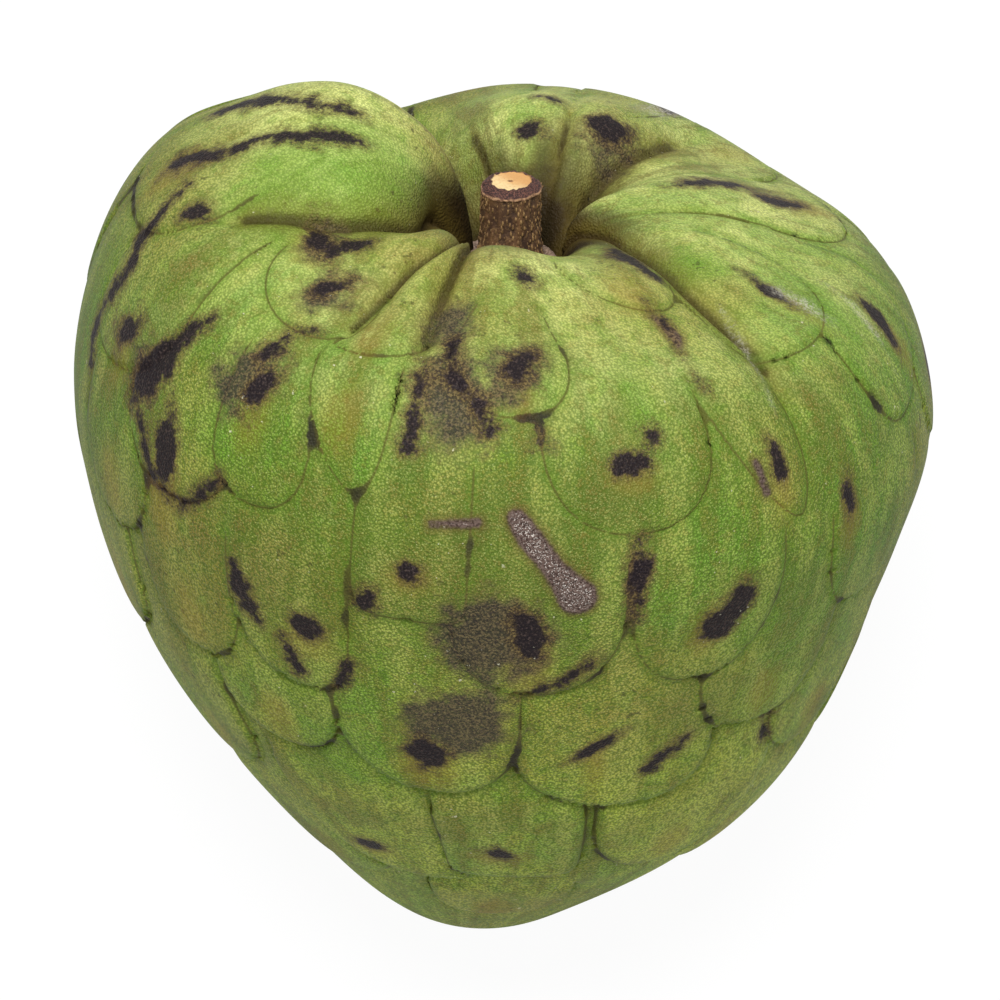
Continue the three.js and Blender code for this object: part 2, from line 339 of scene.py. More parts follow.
def snap_to_seams(along, azimuth):
    which, distance = nearest_seam(along, azimuth)
    close = (np.abs(distance) < SNAP) & (which >= 0)
    step = 0.02
    for k in np.unique(which[close]):
        mine = close & (which == k)
        a, z = along[mine], azimuth[mine]
        ring = ring_width(a)
        here, _ = inside_scale(scales[k], a, z)
        down, _ = inside_scale(scales[k], a + step / LENGTH, z)
        aside, _ = inside_scale(scales[k], a, z + step / ring)
        slope_down, slope_aside = (down - here) / step, (aside - here) / step
        slope = slope_down**2 + slope_aside**2 + 1e-6
        along[mine] = a - here * slope_down / slope / LENGTH
        azimuth[mine] = z - here * slope_aside / slope / ring
    return close.sum()


moved = snap_to_seams(along, azimuth)
print(f"{moved} points moved onto a seam")

# %% [markdown]
# ## Raising the relief
# A scale stands a little proud at its hanging edge, and the one below dips under it. Between them runs a
# fine sharp groove in a wide shallow one. The creases are cut on top of that. What the shader needs to
# know about each point, such as how near a seam is, is gathered on the way.

# %% Relief of the scales and creases
LIP, LIP_REACH = 0.28, 7.0          # mm that a scale's edge stands proud, and over what length that fades
DIP, DIP_REACH = 0.10, 3.0          # mm that the scale below dips beside that edge
HOLLOW, HOLLOW_HALF = 0.22, 4.0     # the wide groove along a seam
SEAM, SEAM_HALF = 0.13, 0.8         # the sharp groove in it
LINE_HALF = 2.0                     # the stored nearness to a seam falls to 0 over this many mm
JUNCTION_HALF = 7.0                 # and the nearness to a place where seams meet over this many


def cushions(x):
    """The section of a groove between two round cushions: 1 at x = 0, 0 from x = 1 on."""
    rise = 1 - np.clip(x, 0, 1)
    return 1 - np.sqrt(np.clip(1 - rise * rise, 0, 1))


count = len(along)
relief = np.zeros(count)
groove = np.zeros(count)
seam = np.zeros(count)
junction = np.zeros(count)
nearest_one = np.zeros(count)
owner = np.full(count, -1)
covered = np.full(count, -FAR)
for k, s in enumerate(scales):
    near = near_scale(s, along, azimuth)
    inside, shows = inside_scale(s, along[near], azimuth[near])
    distance = np.abs(inside)
    hidden = covered[near]
    open_here = (hidden < 1e-3) * shows
    owner[near] = np.where((inside > 0) & (hidden < 0), k, owner[near])
    lip = LIP * np.exp(-distance / LIP_REACH)
    dip = -DIP * np.exp(-distance / DIP_REACH)
    relief[near] += open_here * np.where(inside > 0, lip, dip)
    cut = HOLLOW * cushions(distance / HOLLOW_HALF) + SEAM * cushions(distance / SEAM_HALF)
    groove[near] = np.maximum(groove[near], cut * open_here)
    seam[near] = np.maximum(seam[near], (1 - distance / LINE_HALF) * open_here)
    close = np.clip(1 - distance / JUNCTION_HALF, 0, 1) * shows * (1 - smooth(0, 4, hidden))
    junction[near] = np.maximum(junction[near], np.minimum(nearest_one[near], close))
    nearest_one[near] = np.maximum(nearest_one[near], close)
    covered[near] = np.maximum(hidden, inside)
relief = (relief - groove) * (0.75 + 1.65 * smooth(0.36, 0.66, along))

fold = np.zeros(count)
sunk = np.zeros(count)
for half_width, path in creases:
    distance, depth = distance_to_path(path, along, azimuth)
    sunk = np.maximum(sunk, depth * cushions(distance / half_width))
    fold = np.maximum(fold, np.clip(depth / 2, 0, 1) * (1 - distance / half_width))
relief -= sunk
print(f"relief from {relief.min():.1f} to {relief.max():.1f} mm")

# %% [markdown]
# ## Bruises, smudges and scars
# Handling leaves a ripe cherimoya with marks, and they are half of its look. Half of the scales on the
# upper side have a bruise already, and most of the others do. Added here are the marks that belong to no
# scale: bruises that follow a seam or a shoulder, grey-brown smudges, and corky scars. A mark is an
# ellipse or a path on the skin. What is stored on the points is only how many mm inside its mark each
# one lies, and the shader frays the edge with noise, so the edges come out finer than the mesh. Three
# more lists say where the skin is greener, browner or rubbed paler than round about.

# %% Set out the marks
# An ellipse is (azimuth, percentage along, length mm, width mm, degrees from the meridian).
bruises = [
    (148, 16, 6, 4, -20), (172, 12.5, 2.5, 3, 0), (170, 17, 2, 2.5, 0), (4, 18.5, 2, 1.5, 0),
    (-36.5, 23.5, 4.5, 2.2, -40), (-68, 27, 3.4, 2.4, -30), (21, 32, 1.7, 1.7, 0), (-17, 45.5, 3, 2.6, 0),
    (5, 32.5, 1.6, 1.8, 0), (151, 27, 5, 2, 20),
]
streaks = [  # (azimuth, percentage along, width mm)
    [(-84, 27, 2.6), (-83, 25.5, 3), (-80, 23.5, 1.8), (-79, 21, 1.8), (-76, 19, 2), (-71, 17, 1.8),
     (-67, 15.5, 0.6)],
    [(-98, 24, 3), (-96, 21.5, 2.6), (-90, 18.5, 1.6), (-84, 16.5, 1.8), (-81, 15, 0.6)],
    [(-76, 26.5, 0.4), (-74, 29, 1), (-73, 31, 2.2), (-71, 33.5, 1.8), (-75, 38, 1.2), (-72, 40, 0.8)],
    [(-59, 38.5, 1.5), (-55, 36, 4.2), (-49.5, 30.5, 0.8)],
    [(-33, 27.5, 0.6), (-36, 28.5, 1.2), (-38, 30.5, 1.6)],
    [(-49, 43, 1.2), (-45, 43, 0.8), (-41, 41.5, 1.2), (-39, 40, 0.4)],
    [(-58, 37.5, 1), (-51, 42.5, 0.9)],
    [(18, 39.5, 1.4), (18, 42, 1.8), (18, 45, 1.4)],
    [(-43, 21.5, 0.8), (-41.5, 20, 1.6), (-38, 18.5, 0.6)],
    [(33.5, 45, 3.2), (30, 47.5, 4.6)],
    [(51, 12.5, 1.6), (46, 14.5, 3.4), (43, 17.5, 1.4)],
    [(110, 16.5, 1), (111, 18, 2), (113, 20.5, 1.8)],
    [(108, 21.5, 1.2), (107, 23, 2.4), (107, 25, 0.8)],
    [(33, 20, -1), (34, 22.5, -0.2), (32, 26, -0.8), (32, 29, 0)],
    [(-9, 26, 0.8), (-8.5, 28.5, 1.6), (-5, 30, 1.2), (-2, 32, 1.6)],
    [(-13, 28, 0.8), (-13, 31, 1), (-13, 34, 2)],
    [(4, 52.5, 0.5), (9, 51, 1.2), (14, 49, 0.8)],
    [(-36, 46, 1), (-35, 47.5, 2.6), (-33, 49.5, 1)],
    [(-29, 50.5, 1.4), (-27, 53, 1.4)],
    [(-19.5, 51.5, 0.9), (-21.5, 53.5, 0.9)],
    [(29.5, 58.5, 1), (23.5, 61.5, 1.4)],
    [(46, 60, 1), (46.5, 62.5, 1)],
]
smudges = [
    (-8, 30, 14, 10, 14), (-11, 24, 8, 6, -10), (18, 42.5, 9, 3, 0), (0, 47.5, 14, 15, 0),
    (-5, 55.5, 12, 15, 30), (-39, 33, 11, 8, -35), (-36.5, 24, 8, 6, -30), (-65, 36, 7, 4, -60),
    (145, 15.5, 9, 7, 10), (109, 23, 9, 5, 0), (1, 27.5, 10, 7, -30), (-46, 21, 7, 6, 0), (-57, 37, 8, 7, 0),
    (112, 18.5, 6, 3, 0), (-83, 26, 6, 5, 0), (47, 14.5, 8, 5, 20),
]
scars = [
    [(2, 38, 2.6), (4, 39.5, 3.2), (7, 41.5, 3), (10, 43.5, 5)],
    [(-9, 39, 0.8), (-3, 38.5, 1.2)],
    [(33, 21.5, 0.8), (34, 23.5, 1.6), (33, 25, 0.6)],
    [(36, 35, 1), (37, 37.5, 1)],
]


lush = [  # where the skin is a deeper green
    (-60, 18.5, 26, 20, 0), (-38, 36, 16, 12, 0), (56, 17, 16, 9, 20), (69, 27.5, 12, 8, 0),
    (20, 30, 14, 5, 0), (-25, 61, 14, 12, 0), (-13, 40, 5, 7, 0), (7, 45, 8, 6, 0),
]
dull = [  # and where it is browner
    (-3, 42, 22, 30, 0), (-54, 50, 16, 10, 0), (-30, 44, 12, 10, 0), (14, 37, 10, 14, 0), (30, 55, 16, 14, 0),
]

scuffs = [  # where the skin is rubbed pale
    (151, 25.5, 8, 3, 0), (66, 25.5, 5, 1.5, 0), (46, 27, 8, 0.6, -20), (74, 30, 6, 0.8, -15),
]

MARK_REACH = 4.0  # mm outside a mark where it stops having an effect


def beside(s, aside, above):
    """The azimuth and percentage along of a place on a scale, given in mm from its tip."""
    tip = s["tip"] - above / LENGTH
    return s["turn"] + math.degrees(aside / float(ring_width(tip))), tip * 100


tints = []
for s in scales:
    if s["bruise"]:
        aside, above, length, width, lean = s["bruise"]
        bruises.append((*beside(s, aside, above), length, width, lean))
        tints.append((*beside(s, aside, above - length * 0.6), length * 1.2, width * 1.3, 0))
    else:
        tints.append((*beside(s, 0, s["drop"] * 0.5), 7, 4, 0))


def inside_ellipses(marks, along, azimuth):
    """How many mm inside the nearest ellipse each point lies, roughly, and negative outside."""
    depth = np.full(along.shape, -MARK_REACH)
    for turn, part, length, width, lean in marks:
        sideways = turn_between(azimuth, turn)
        near = (np.abs(along - part / 100) < 0.2) & (np.abs(sideways) < 1.2)
        x = sideways[near] * ring_width(along[near])
        y = (along[near] - part / 100) * LENGTH
        c, s = math.cos(math.radians(lean)), math.sin(math.radians(lean))
        ratio = np.hypot((x * c - y * s) / (width / 2), (x * s + y * c) / (length / 2))
        depth[near] = np.maximum(depth[near], (1 - ratio) * math.sqrt(length * width) / 2)
    return depth


def inside_paths(paths, along, azimuth):
    """The same for paths whose third value is their width."""
    depth = np.full(along.shape, -MARK_REACH)
    for path in paths:
        distance, width = distance_to_path(curve_through(path, steps=6), along, azimuth)
        depth = np.maximum(depth, width / 2 - distance)
    return depth


marks = {
    "bruise": np.maximum(inside_ellipses(bruises, along, azimuth), inside_paths(streaks, along, azimuth)),
    "smudge": inside_ellipses(smudges, along, azimuth),
    "scar": inside_paths(scars, along, azimuth),
    "tint": inside_ellipses(tints, along, azimuth),
    "lush": inside_ellipses(lush, along, azimuth),
    "dull": inside_ellipses(dull, along, azimuth),
    "scuff": inside_ellipses(scuffs, along, azimuth),
}
print(f"{len(bruises) + len(streaks)} bruises, {len(smudges)} smudges, {len(scars)} scars")

# %% [markdown]
# ## Laying the fruit down
# A heart cannot stand on its tip, so it lies on its flank with the stem end raised, and its weight
# presses a small flat into the skin. The same turn and shift place the stem later.

# %% Place the skin
AXIS_RISE = 33     # degrees that the axis rises from the table
FLAT_DEPTH = 1.2   # mm that the skin is pressed in


def vertex_normals(points, quads):
    a, b, c, d = (points[quads[:, i]] for i in range(4))
    face = np.cross(c - a, d - b)
    total = np.zeros_like(points)
    for corner in range(4):
        for axis in range(3):
            total[:, axis] += np.bincount(quads[:, corner], face[:, axis], len(points))
    return total / np.linalg.norm(total, axis=1)[:, None]


upright = skin(along, azimuth)
upright = upright + vertex_normals(upright, quads) * relief[:, None]
lay_down = np.array(Matrix.Rotation(math.radians(AXIS_RISE - 90), 3, "X"))
lying = upright @ lay_down.T
low, high = lying.min(axis=0), lying.max(axis=0)
SHIFT = np.array([-(low[0] + high[0]) / 2, -(low[1] + high[1]) / 2, -(low[2] + FLAT_DEPTH)])


def place(points):
    """From the fruit's own upright frame in mm to the model's frame in metres."""
    return (np.asarray(points) @ lay_down.T + SHIFT) * MM


placed = place(upright)
placed[:, 2] = np.maximum(placed[:, 2], 0)
print(f"the fruit is {np.round((placed.max(axis=0) - placed.min(axis=0)) / MM, 1)} mm")

# %% Make the mesh


def make_object(name, points, faces, values=None):
    """A smooth mesh object from points in metres, with named values stored on its points."""
    mesh = bpy.data.meshes.new(name)
    mesh.from_pydata(np.asarray(points).tolist(), [], [list(map(int, f)) for f in faces])
    mesh.polygons.foreach_set("use_smooth", np.ones(len(mesh.polygons), dtype=bool))
    for label, numbers in (values or {}).items():
        mesh.attributes.new(label, "FLOAT", "POINT").data.foreach_set("value", np.asarray(numbers, "f"))
    mesh.update()
    made = bpy.data.objects.new(name, mesh)
    bpy.context.scene.collection.objects.link(made)
    return made


tone_of = rng.uniform(0, 1, len(scales) + 1)
values = dict(marks)
values.update(seam=seam, junction=junction, fold=fold, along=along, tone=tone_of[owner])
values.update(turn_x=np.sin(azimuth), turn_y=np.cos(azimuth))
fruit = make_object("fruit_skin", placed, quads, values)
print(f"{fruit.name}: {len(fruit.data.polygons)} faces")

# %% [markdown]
# ## Writing materials as sums
# A material is worked out from numbers that change over the surface. Written as node calls, a simple
# sum takes six lines, so a small class wraps a node's output and lets it be added and multiplied like
# a number in Python: each operator adds one Math node. Colours and vectors go through nodes of their own.

# %% Numbers, nodes and colours of a material


class Num:
    """A node's output that can be calculated with."""

    def __init__(self, paint, socket):
        self.paint, self.socket = paint, socket

    def _math(self, operation, other, swapped=False):
        pair = (other, self) if swapped else (self, other)
        return self.paint.node("ShaderNodeMath", {"operation": operation}, {0: pair[0], 1: pair[1]})

    def __add__(self, other): return self._math("ADD", other)
    def __sub__(self, other): return self._math("SUBTRACT", other)
    def __rsub__(self, other): return self._math("SUBTRACT", other, swapped=True)
    def __mul__(self, other): return self._math("MULTIPLY", other)
    def max(self, other): return self._math("MAXIMUM", other)
    def min(self, other): return self._math("MINIMUM", other)
    __radd__, __rmul__ = __add__, __mul__


class Paint:
    """A new material, and the few kinds of nodes that paint it."""

    def __init__(self, name):
        self.material = bpy.data.materials.new(name)
        self.material.use_nodes = True
        self.tree = self.material.node_tree
        self.shader = self.tree.nodes["Principled BSDF"]
        coordinates = self.tree.nodes.new("ShaderNodeTexCoord")
        self.position = Num(self, coordinates.outputs["Object"])

    def node(self, kind, settings=None, sockets=None, output=0):
        """Adds a node: its settings first, then values or links for its sockets, by name or number."""
        made = self.tree.nodes.new(kind)
        for key, value in (settings or {}).items():
            setattr(made, key, value)
        for key, value in (sockets or {}).items():
            self.feed(made.inputs[key], value)
        return Num(self, made.outputs[output])

    def feed(self, socket, value):
        if isinstance(value, Num):
            self.tree.links.new(value.socket, socket)
        else:
            socket.default_value = value

    def attribute(self, name):
        return self.node("ShaderNodeAttribute", {"attribute_name": name}, output="Fac")

    def noise(self, size, detail=2.0, roughness=0.5, stretch=None):
        """Cloudy noise from 0 to 1 whose lumps are about size mm across."""
        where = self.position if stretch is None else self.stretched(stretch)
        return self.node("ShaderNodeTexNoise", {}, {
            "Vector": where, "Scale": 1 / (size * MM), "Detail": detail, "Roughness": roughness})

    def stretched(self, factors):
        return self.node("ShaderNodeVectorMath", {"operation": "MULTIPLY"}, {0: self.position, 1: factors})

    def step(self, low, high, value):
        """0 where value is below low, 1 above high, and an S-curve between them."""
        return self.node("ShaderNodeMapRange", {"interpolation_type": "SMOOTHSTEP"},
                         {"Value": value, "From Min": low, "From Max": high})

    def mix(self, factor, a, b):
        return self.node("ShaderNodeMix", {"data_type": "RGBA"}, {0: factor, 6: a, 7: b}, output=2)

    def set(self, **sockets):
        """Sets or links the shader's sockets; Base_Color stands for Base Color."""
        for key, value in sockets.items():
            self.feed(self.shader.inputs[key.replace("_", " ")], value)

    def bump(self, height, strength=1.0):
        """Links a height in mm to the surface."""
        self.set(Normal=self.node(
            "ShaderNodeBump", {}, {"Strength": strength, "Distance": MM, "Height": height}))


def colour(red, green, blue):
    """A colour as painters' values from 0 to 255, turned into the linear values that Blender uses."""
    def linear(c):
        c = c / 255
        return c / 12.92 if c <= 0.04045 else ((c + 0.055) / 1.055) ** 2.4
    return (linear(red), linear(green), linear(blue), 1)


# %% [markdown]
# ## The skin's finish
# The skin is leathery and pebbled: cells under a millimetre across, pale at the middle and dark green
# between. Its green goes from a bright yellow-green round the stem to olive lower down, and changes a
# little from scale to scale. Painted shade comes next: the skin darkens to near-black towards the bottom
# of the stem cavity and to brown in the creases, where shade falls. Over that come the layers of age, in
# the order in which they cover each other: the fine dark seams with a black stretch here and there, ochre
# tints, grey-brown smudges, corky scars and purple-black bruises. Every edge is frayed by noise, because a
# bruise follows the pebbles and never has a clean outline.

# %% Paint the skin
paint = Paint("cherimoya_skin")
noise, step, mix = paint.noise, paint.step, paint.mix
PEBBLE = 0.34  # mm from one pebble to the next
grain, fine, fray = noise(0.3, 3), noise(0.18, 2), noise(1, 6, 0.75)
cells = paint.node("ShaderNodeTexVoronoi", {"feature": "F1"}, {
    "Vector": paint.position, "Scale": 1 / (PEBBLE * MM), "Randomness": 1.0})
pebble = 1 - step(0.1, 0.8, cells + 0.5 * (grain - 0.5))
mottle, ragged, patches = noise(1.6, 4, 0.65), noise(3, 3, 0.6), noise(8, 4, 0.6)
broad, stain = noise(26, 2), noise(17, 5, 0.65)
around_axis = paint.node("ShaderNodeCombineXYZ", {}, {
    0: 9 * paint.attribute("turn_x"), 1: 9 * paint.attribute("turn_y"), 2: 7 * paint.attribute("along")})
rays = paint.node("ShaderNodeTexNoise", {}, {
    "Vector": around_axis, "Scale": 1.0, "Detail": 5.0, "Roughness": 0.65})
tone = paint.attribute("tone")

along_skin = paint.attribute("along") + 0.2 * (broad - 0.5)
green = mix(step(0.14, 0.36, along_skin), colour(226, 232, 140), colour(102, 124, 48))
green = mix(step(0.44, 0.66, along_skin), green, colour(178, 190, 74))
green = mix(0.6 * step(0.42, 0.62, 0.8 * patches + 0.2 * tone), green, colour(106, 156, 50))
green = mix(0.6 * step(0.45, 0.66, broad), green, colour(156, 138, 64))
green = mix(0.6 * step(0.52, 0.68, stain), green, colour(124, 100, 52))
green = mix(0.5 * step(0.48, 0.66, ragged), green, colour(108, 148, 42))
green = mix(0.5 * step(0.5, 0.64, mottle), green, colour(124, 108, 48))
green = mix(0.5 * step(0.52, 0.64, rays), green, colour(120, 104, 46))
green = mix(0.35 * step(0.54, 0.4, rays), green, colour(196, 200, 104))
green = mix(0.6 * step(-3.5, 5, paint.attribute("lush") + 8 * (ragged - 0.5)), green, colour(108, 158, 48))
green = mix(0.4 * step(-3.5, 5, paint.attribute("dull") + 8 * (ragged - 0.5)), green, colour(104, 88, 44))
green = mix((0.52 + 0.26 * step(0.2, 0.35, along_skin)) * (1 - pebble), green, colour(64, 90, 22))
green = mix(0.3 * step(0.55, 0.7, fine), green, colour(214, 218, 140))
green = mix(0.6 * step(0.66, 0.7, noise(1.1, 2)) * step(0.45, 0.6, broad), green, colour(62, 62, 30))

# Painted shade: towards the bottom of the stem cavity the skin darkens to brown and then to near-black, where
# shade falls.
inwards = paint.attribute("along") + 0.03 * (ragged - 0.5)
green = mix(0.65 * (1 - step(0.075, 0.125, inwards)), green, colour(112, 98, 42))
green = mix(0.95 * (1 - step(0.07, 0.102, inwards)), green, colour(26, 18, 10))
# Painted shade in the creases: brown along them near the stem, olive-brown along every deep crease, and dark
# brown along its bottom, where shade falls.
fold = paint.attribute("fold")
green = mix(0.75 * step(0.05, 0.6, fold) * (1 - step(0.1, 0.17, inwards)), green, colour(50, 38, 20))
green = mix(0.5 * step(0.5, 1.0, fold + 0.4 * (ragged - 0.5)), green, colour(108, 92, 36))
crease_bottom_shade = step(0.84, 0.97, fold + 0.1 * (fray - 0.5))
green = mix(0.75 * crease_bottom_shade, green, colour(50, 38, 20))

NARROW, WIDE, MEETING = 0.13, 0.42, 0.6  # mm: half widths of a seam, of a black stretch, and where seams meet
away = LINE_HALF * (1 - paint.attribute("seam"))  # mm to the nearest seam
green = mix(0.3 * (1 - step(0.2, 1.6, away)), green, colour(88, 124, 34))
stretch = step(0.57, 0.68, noise(10, 2)) * step(0.2, 0.28, paint.attribute("along"))
meeting = (step(0.7, 0.98, paint.attribute("junction")) * step(0.42, 0.6, noise(13, 1))
           * step(0.31, 0.36, paint.attribute("along")))
dark = (stretch + meeting).min(1)
half_line = NARROW + 0.14 * (grain - 0.5) + WIDE * stretch + MEETING * meeting
line = step(-0.16, 0.16, half_line - away + (0.15 + 1.3 * dark) * (fray - 0.5))
green = mix(0.35 * dark * (1 - step(0.4, 2.2, away + 2 * (fray - 0.5))), green, colour(80, 62, 34))
green = mix(0.9 * line, green, mix(dark, colour(84, 84, 36), colour(38, 31, 32)))

tint = paint.attribute("tint")
green = mix(0.25 * step(-2.2, 1.2, tint + 3.2 * (fray - 0.5)), green, colour(146, 104, 42))

speckle = noise(0.4, 5, 0.75)
smudge = paint.attribute("smudge")
smudged = step(-2.2, 2.6, smudge + 3 * (fray - 0.5) + 9 * (ragged - 0.5))
deep_smudge = step(-1.5, 2, smudge + 8 * (ragged - 0.5))
smudge_brown = mix(step(0.4, 0.62, grain), colour(74, 60, 40), colour(126, 108, 66))
smudge_dark = mix(step(0.42, 0.62, grain), colour(42, 36, 40), colour(96, 82, 64))
green = mix(0.9 * smudged, green, mix(0.85 * deep_smudge, smudge_brown, smudge_dark))
green = mix(0.6 * step(0.5, 0.62, speckle) * smudged, green, colour(46, 38, 40))

scar = paint.attribute("scar") + 0.8 * (fray - 0.5)
scarred = step(-0.3, 0.3, scar)
cork = mix(step(0.35, 0.6, grain), colour(60, 44, 42), colour(104, 86, 80))
cork = mix(0.8 * step(0.56, 0.64, fine) * step(0.2, 0.9, scar), cork, colour(206, 198, 190))
green = mix(0.5 * step(-1.4, 0.2, scar), green, colour(92, 66, 40))
green = mix(0.95 * scarred, green, cork)

bruise = paint.attribute("bruise") + 4.4 * (ragged - 0.5)
around = step(-2, 0.4, bruise + 2.6 * (fray - 0.5))
green = mix(0.75 * around, green, mix(step(0.4, 0.62, grain), colour(66, 50, 32), colour(124, 104, 58)))
green = mix(0.8 * step(0.5, 0.6, speckle) * step(-1.8, 0.2, bruise), green, colour(44, 36, 38))
black = step(-0.3, 0.5, bruise + 2.6 * (fray - 0.5) + 1.2 * (grain - 0.5))
green = mix(0.96 * black, green, mix(step(0.5, 0.75, grain), colour(30, 24, 28), colour(72, 60, 58)))

rubbed = step(-2.5, 1.5, paint.attribute("scuff") + 5 * (ragged - 0.5))
green = mix(0.75 * rubbed * step(0.42, 0.6, speckle), green, colour(190, 186, 168))
flecks = step(0.73, 0.755, noise(0.8, 2, 0.5)) * step(0.48, 0.6, noise(15, 1))
green = mix(0.55 * flecks, green, colour(222, 220, 190))

paint.set(Base_Color=green, Roughness=0.52 + 0.12 * scarred + 0.12 * (grain - 0.5), Specular_IOR_Level=0.1)
paint.bump(0.11 * pebble + 0.03 * grain + 0.2 * scarred * fray + 0.12 * ragged, strength=0.9)
fruit.data.materials.append(paint.material)
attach(fruit, "root")
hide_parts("fruit")
print(f"the skin's material has {len(paint.tree.nodes)} nodes")

# %% [markdown]
# ## The stem stub
# The fruit is cut from the tree with a stub of its stem: a rod of rough bark that flares a little to its
# root, with pale wood showing in the cut. Round the wood the bark has broken into a dark sloping ring
# with a thin pale lip under it. A profile is swept round, and the bark's ridges are pushed out of it
# with noise that is stretched along the stem.

# %% Sweep the stub
STUB_SIDES = 180
STUB_ROOT = (MERIDIAN[0][1] - CAVITY) * RADIUS - 1.6   # mm: where its hidden root starts, on the fruit's axis
STUB_LENGTH = 1.86 * RADIUS - STUB_ROOT
BARK, LIP_EDGE, BROKEN, WOOD = 0, 1, 2, 3
profile = [(0.02, 0, BARK), (4.5, 0, BARK)]
profile += [(5.1 - 1.25 * smooth(2, 14, h), h, BARK) for h in np.linspace(0.2, STUB_LENGTH - 1.4, 76)]
profile += [(r, STUB_LENGTH - drop, kind) for r, drop, kind in (
    (3.88, 1.2, BARK), (3.98, 1.08, LIP_EDGE), (4.02, 0.95, LIP_EDGE), (3.94, 0.8, LIP_EDGE),
    (3.82, 0.75, BROKEN), (3.7, 0.55, BROKEN), (3.4, 0.4, BROKEN), (3.1, 0.2, BROKEN),
    (2.8, 0.05, BROKEN), (2.65, 0, BROKEN), (2.55, 0.1, WOOD), (2.3, 0.15, WOOD),
    (1.6, 0.18, WOOD), (0.9, 0.2, WOOD), (0.35, 0.28, WOOD), (0.02, 0.3, WOOD),
)]


def lattice_noise(rng, turns, rows, around, up):
    """Smooth noise from -1 to 1 that closes on itself round the stem: around is 0 to 1, up is 0 to 1."""
    grid = rng.uniform(-1, 1, (turns, rows + 2))
    x, y = around * turns, np.clip(up, 0, 1) * rows
    i, j = np.floor(x).astype(int), np.floor(y).astype(int)
    u, v = smooth(0, 1, x - i), smooth(0, 1, y - j)
    pick = lambda a, b: grid[(i + a) % turns, j + b]
    return (pick(0, 0) * (1 - u) + pick(1, 0) * u) * (1 - v) + (pick(0, 1) * (1 - u) + pick(1, 1) * u) * v


def sweep(profile, sides):
    """Points and faces of a closed profile of (radius, height, kind) swept round, with its kinds."""
    radius, height, kind = (np.array(column, float) for column in zip(*profile))
    around = np.arange(sides) / sides
    r, a = np.meshgrid(radius, around, indexing="ij")
    h, k = np.meshgrid(height, np.zeros(sides), indexing="ij")[0], np.repeat(kind, sides)
    rows = len(profile)
    faces = []
    for row in range(rows - 1):
        for side in range(sides):
            after = (side + 1) % sides
            faces.append((row * sides + side, row * sides + after,
                          (row + 1) * sides + after, (row + 1) * sides + side))
    faces.append(tuple(reversed(range(sides))))
    faces.append(tuple(range((rows - 1) * sides, rows * sides)))
    return r.ravel(), a.ravel(), h.ravel(), k, faces


r, a, h, kind, stub_faces = sweep(profile, STUB_SIDES)
up = h / STUB_LENGTH
rough = (kind == BARK) * smooth(0, 1, h) + 0.6 * (kind == LIP_EDGE) + 0.8 * (kind == BROKEN)
ridges = 0.16 * lattice_noise(rng, 22, 5, a, up) + 0.12 * lattice_noise(rng, 56, 14, a, up)
ridges = ridges + 0.06 * lattice_noise(rng, 90, 40, a, up)
crumble = 0.22 * lattice_noise(rng, 48, 90, a, up)
shape = 1 + 0.05 * np.cos(2 * math.pi * a * 2 + 0.6) + 0.02 * np.cos(2 * math.pi * a * 3 + 2)
shape = 1 + (shape - 1) * smooth(0.5, 2.5, r)
r = r * shape + rough * ridges * smooth(1, 3, r)
h = h + (kind == BROKEN) * crumble + (kind == WOOD) * 0.05 * lattice_noise(rng, 30, 60, a, up)
angle = a * 2 * math.pi
stub_points = np.stack([r * np.sin(angle), -r * np.cos(angle), h + STUB_ROOT], axis=-1)
stub = make_object("stem_stub", place(stub_points), stub_faces, {
    "bark": kind == BARK, "lip": kind == LIP_EDGE, "broken": kind == BROKEN, "wood": kind == WOOD,
    "ridge": ridges, "out": r, "turn_x": r * np.sin(angle), "turn_y": r * np.cos(angle)})
print(f"{stub.name}: {len(stub.data.polygons)} faces")

# %% [markdown]
# ## Bark and cut wood
# The bark is dark between its ridges and lighter brown on them, which the stored height of the ridges
# gives. The cut wood is cream with an orange cast towards one side, faint rings, and a dark pith.

# %% Paint the stub
paint = Paint("stem_bark")
noise, step, mix = paint.noise, paint.step, paint.mix
grain, fine, patches = noise(0.5, 4, 0.7), noise(0.18, 2), noise(3, 2)
ridge = paint.attribute("ridge")
brown = mix(step(-0.25, 0.3, ridge + 0.25 * (grain - 0.5)), colour(56, 36, 22), colour(112, 78, 44))
brown = mix(0.6 * step(0.5, 0.7, grain), brown, colour(150, 118, 72))
brown = mix(0.5 * step(0.5, 0.8, patches), brown, colour(70, 44, 26))
broken = mix(step(0.45, 0.6, fine), colour(46, 24, 22), colour(104, 66, 54))
brown = mix(paint.attribute("broken"), brown, broken)
brown = mix(0.85 * paint.attribute("lip"), brown,
            mix(step(0.4, 0.6, grain), colour(104, 72, 50), colour(178, 138, 102)))
across, deep = paint.attribute("turn_x"), paint.attribute("turn_y")
rings = noise(0.35, 2)
wood = mix(step(-2.2, 2.0, across - deep + 1.5 * (patches - 0.5)), colour(232, 204, 148), colour(206, 156, 96))
wood = mix(0.3 * step(0.45, 0.7, rings), wood, colour(196, 132, 74))
pith = 1 - step(0.25, 0.5, paint.node("ShaderNodeVectorMath", {"operation": "LENGTH"}, {
    0: paint.node("ShaderNodeCombineXYZ", {}, {0: across + 0.1, 1: 1.6 * (deep + 0.4), 2: 0.0})},
    output="Value"))
wood = mix(0.8 * pith, wood, colour(96, 54, 32))
brown = mix(paint.attribute("wood"), brown, wood)
paint.set(Base_Color=brown, Roughness=0.8)
paint.bump(0.12 * grain + 0.06 * fine)
stub.data.materials.append(paint.material)
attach(stub, "root")
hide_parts("stem")

# %% [markdown]
# ## The bark's warts
# Small pale breathing pores stand out of the bark like warts. There are hundreds, so a Geometry Nodes
# tree scatters one low lump over the bark, turned to face outwards and drawn out along the stem. Its
# size, spacing and seed are inputs. Afterwards the result is made a plain mesh.

# %% Build the scattering tree


